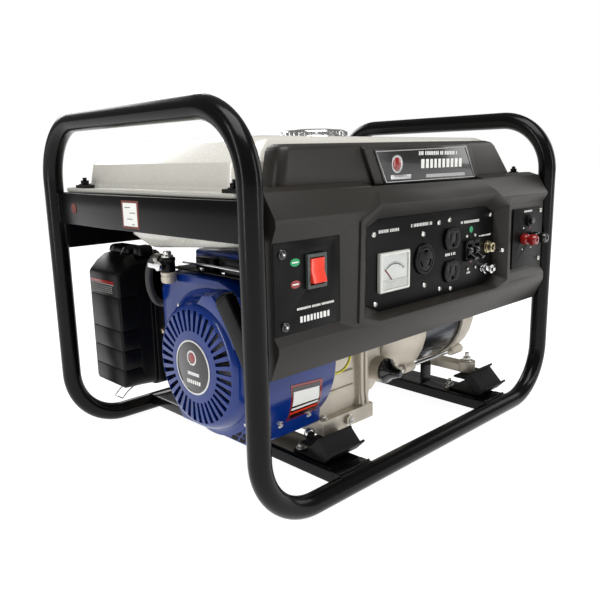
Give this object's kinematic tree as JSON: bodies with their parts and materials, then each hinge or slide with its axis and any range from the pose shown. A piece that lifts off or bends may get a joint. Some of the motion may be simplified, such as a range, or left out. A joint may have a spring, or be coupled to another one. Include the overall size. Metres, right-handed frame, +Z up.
{
  "type": "portable generator",
  "caption": "Open-frame petrol generator: engine and alternator on rubber feet in a black tube frame, ivory fuel tank above, charcoal control panel in front, blue recoil starter at the left",
  "frame": {"origin": "Middle of the bounding box in plan, at ground level under the frame rails.", "axes": "+X to the alternator end, -X to the recoil starter, -Y to the control panel at the front, +Z up."},
  "size_m": [0.6006, 0.4472, 0.439],
  "materials": {
    "frame_black": "gloss enamel",
    "fascia_plastic": "fine grained",
    "panel_face": "satin",
    "fitting_black": "moulded, semi-gloss",
    "rubber_black": "matte",
    "cover_blue": "gloss enamel",
    "tank_ivory": "gloss enamel",
    "cast_alloy": "as cast",
    "bright_steel": "plated",
    "dark_steel": "oiled laminations",
    "machined_steel": "machined",
    "signal_red": "glossy",
    "insulator_white": "glazed",
    "lead_yellow": "sheathed wire",
    "foot_rubber": "rubber bonded between painted plates"
  },
  "bodies": {
    "frame": {"front_frame_tube": "frame_black", "rear_frame_tube": "frame_black", "left_carry_handle": "frame_black", "right_carry_handle": "frame_black", "left_tank_rail": "frame_black", "right_tank_rail": "frame_black", "rear_tank_rail": "frame_black", "front_tank_rail": "frame_black", "left_cross_member": "frame_black", "right_cross_member": "frame_black", "front_left_mount": "foot_rubber", "rear_left_mount": "foot_rubber", "front_right_mount": "foot_rubber", "rear_right_mount": "foot_rubber", "control_fascia": "fascia_plastic", "tank_cowl": "fascia_plastic", "panel_plate": "panel_face", "dc_panel": "panel_face", "voltmeter": "fitting_black", "round_outlet": "fitting_black", "duplex_outlet": "fitting_black", "engine_switch_housing": "fitting_black", "air_cleaner_cover": "fitting_black", "air_cleaner_base": "fitting_black", "alternator_end_cover": "fitting_black", "selector_switch": "bright_steel", "ground_terminal": "bright_steel", "fuel_tank": "tank_ivory", "fuel_cock": "cast_alloy", "crankcase": "cast_alloy", "cylinder_head": "cast_alloy", "rocker_cover": "cast_alloy", "carburettor": "cast_alloy", "alternator_adaptor": "cast_alloy", "alternator_end_bell": "cast_alloy", "fuel_hose": "rubber_black", "spark_plug": "insulator_white", "fan_shroud": "cover_blue", "recoil_cover": "cover_blue", "muffler": "dark_steel", "stator": "dark_steel", "oil_sensor_lead": "lead_yellow"},
    "voltmeter_needle": {"voltmeter_needle": "signal_red"},
    "breaker_lever_a": {"breaker_lever_a": "fitting_black"},
    "breaker_lever_b": {"breaker_lever_b": "fitting_black"},
    "selector_lever": {"selector_lever": "bright_steel"},
    "ground_nut": {"ground_nut": "bright_steel"},
    "engine_switch_rocker": {"engine_switch_rocker": "signal_red"},
    "dc_terminal_red": {"dc_terminal_red": "signal_red"},
    "dc_terminal_black": {"dc_terminal_black": "fitting_black"},
    "dc_breaker_button": {"dc_breaker_button": "fitting_black"},
    "fuel_cap": {"fuel_cap": "bright_steel"},
    "fuel_cock_lever": {"fuel_cock_lever": "bright_steel"},
    "piston": {"piston": "machined_steel"},
    "starter_grip": {"starter_grip": "fitting_black"},
    "choke_lever": {"choke_lever": "bright_steel"},
    "oil_filler_cap": {"oil_filler_cap": "fitting_black"},
    "crank": {"crankshaft": "machined_steel", "flywheel": "machined_steel", "rotor": "dark_steel"}
  },
  "joints": [
    {"name": "crank_spin", "type": "hinge", "parent": "frame", "child": "crank", "pos_m": [0, -0.0529, 0.147], "axis": [1, 0, 0], "continuous": true},
    {"name": "piston_slide", "type": "slide", "parent": "frame", "child": "piston", "axis": [0, 0.9063, 0.4226], "range_m": [-0.027, 0.027]},
    {"name": "starter_pull", "type": "slide", "parent": "frame", "child": "starter_grip", "axis": [-1, 0, 0], "range_m": [0, 0.55], "stiffness_N_per_m": 30, "springref_m": -0.25},
    {"name": "fuel_cap_turn", "type": "hinge", "parent": "frame", "child": "fuel_cap", "pos_m": [0, 0.0091, 0.401], "axis": [0, 0, 1], "range_deg": [0, 90]},
    {"name": "fuel_cock_turn", "type": "hinge", "parent": "frame", "child": "fuel_cock_lever", "pos_m": [-0.257, 0.0131, 0.256], "axis": [1, 0, 0], "range_deg": [-90, 0]},
    {"name": "choke_turn", "type": "hinge", "parent": "frame", "child": "choke_lever", "pos_m": [-0.174, 0.0961, 0.212], "axis": [0, 1, 0], "range_deg": [0, 75]},
    {"name": "oil_cap_turn", "type": "hinge", "parent": "frame", "child": "oil_filler_cap", "pos_m": [-0.006, -0.1239, 0.097], "axis": [0, 1, 0], "continuous": true},
    {"name": "engine_switch_rock", "type": "hinge", "parent": "frame", "child": "engine_switch_rocker", "pos_m": [-0.2125, -0.2003, 0.26725], "axis": [1, 0, 0], "range_deg": [0, 16]},
    {"name": "breaker_a_trip", "type": "hinge", "parent": "frame", "child": "breaker_lever_a", "pos_m": [0.084, -0.1879, 0.253], "axis": [1, 0, 0], "range_deg": [-64, 0]},
    {"name": "breaker_b_trip", "type": "hinge", "parent": "frame", "child": "breaker_lever_b", "pos_m": [0.101, -0.1879, 0.253], "axis": [1, 0, 0], "range_deg": [-64, 0]},
    {"name": "selector_throw", "type": "hinge", "parent": "frame", "child": "selector_lever", "pos_m": [0.1335, -0.1933, 0.2535], "axis": [1, 0, 0], "range_deg": [-20, 0]},
    {"name": "ground_nut_turn", "type": "hinge", "parent": "frame", "child": "ground_nut", "pos_m": [0.131, -0.1949, 0.224], "axis": [0, 1, 0], "continuous": true},
    {"name": "dc_red_turn", "type": "hinge", "parent": "frame", "child": "dc_terminal_red", "pos_m": [0.206, -0.2109, 0.258], "axis": [0, 1, 0], "continuous": true},
    {"name": "dc_black_turn", "type": "hinge", "parent": "frame", "child": "dc_terminal_black", "pos_m": [0.236, -0.2109, 0.258], "axis": [0, 1, 0], "continuous": true},
    {"name": "dc_breaker_press", "type": "slide", "parent": "frame", "child": "dc_breaker_button", "axis": [0, 1, 0], "range_m": [0, 0.0018], "stiffness_N_per_m": 400, "springref_m": -0.001},
    {"name": "voltmeter_swing", "type": "hinge", "parent": "frame", "child": "voltmeter_needle", "pos_m": [-0.0745, -0.1913, 0.233], "axis": [0, 1, 0], "range_deg": [0, 90], "stiffness_Nm_per_rad": 0.00002, "springref_deg": -11.46}
  ]
}
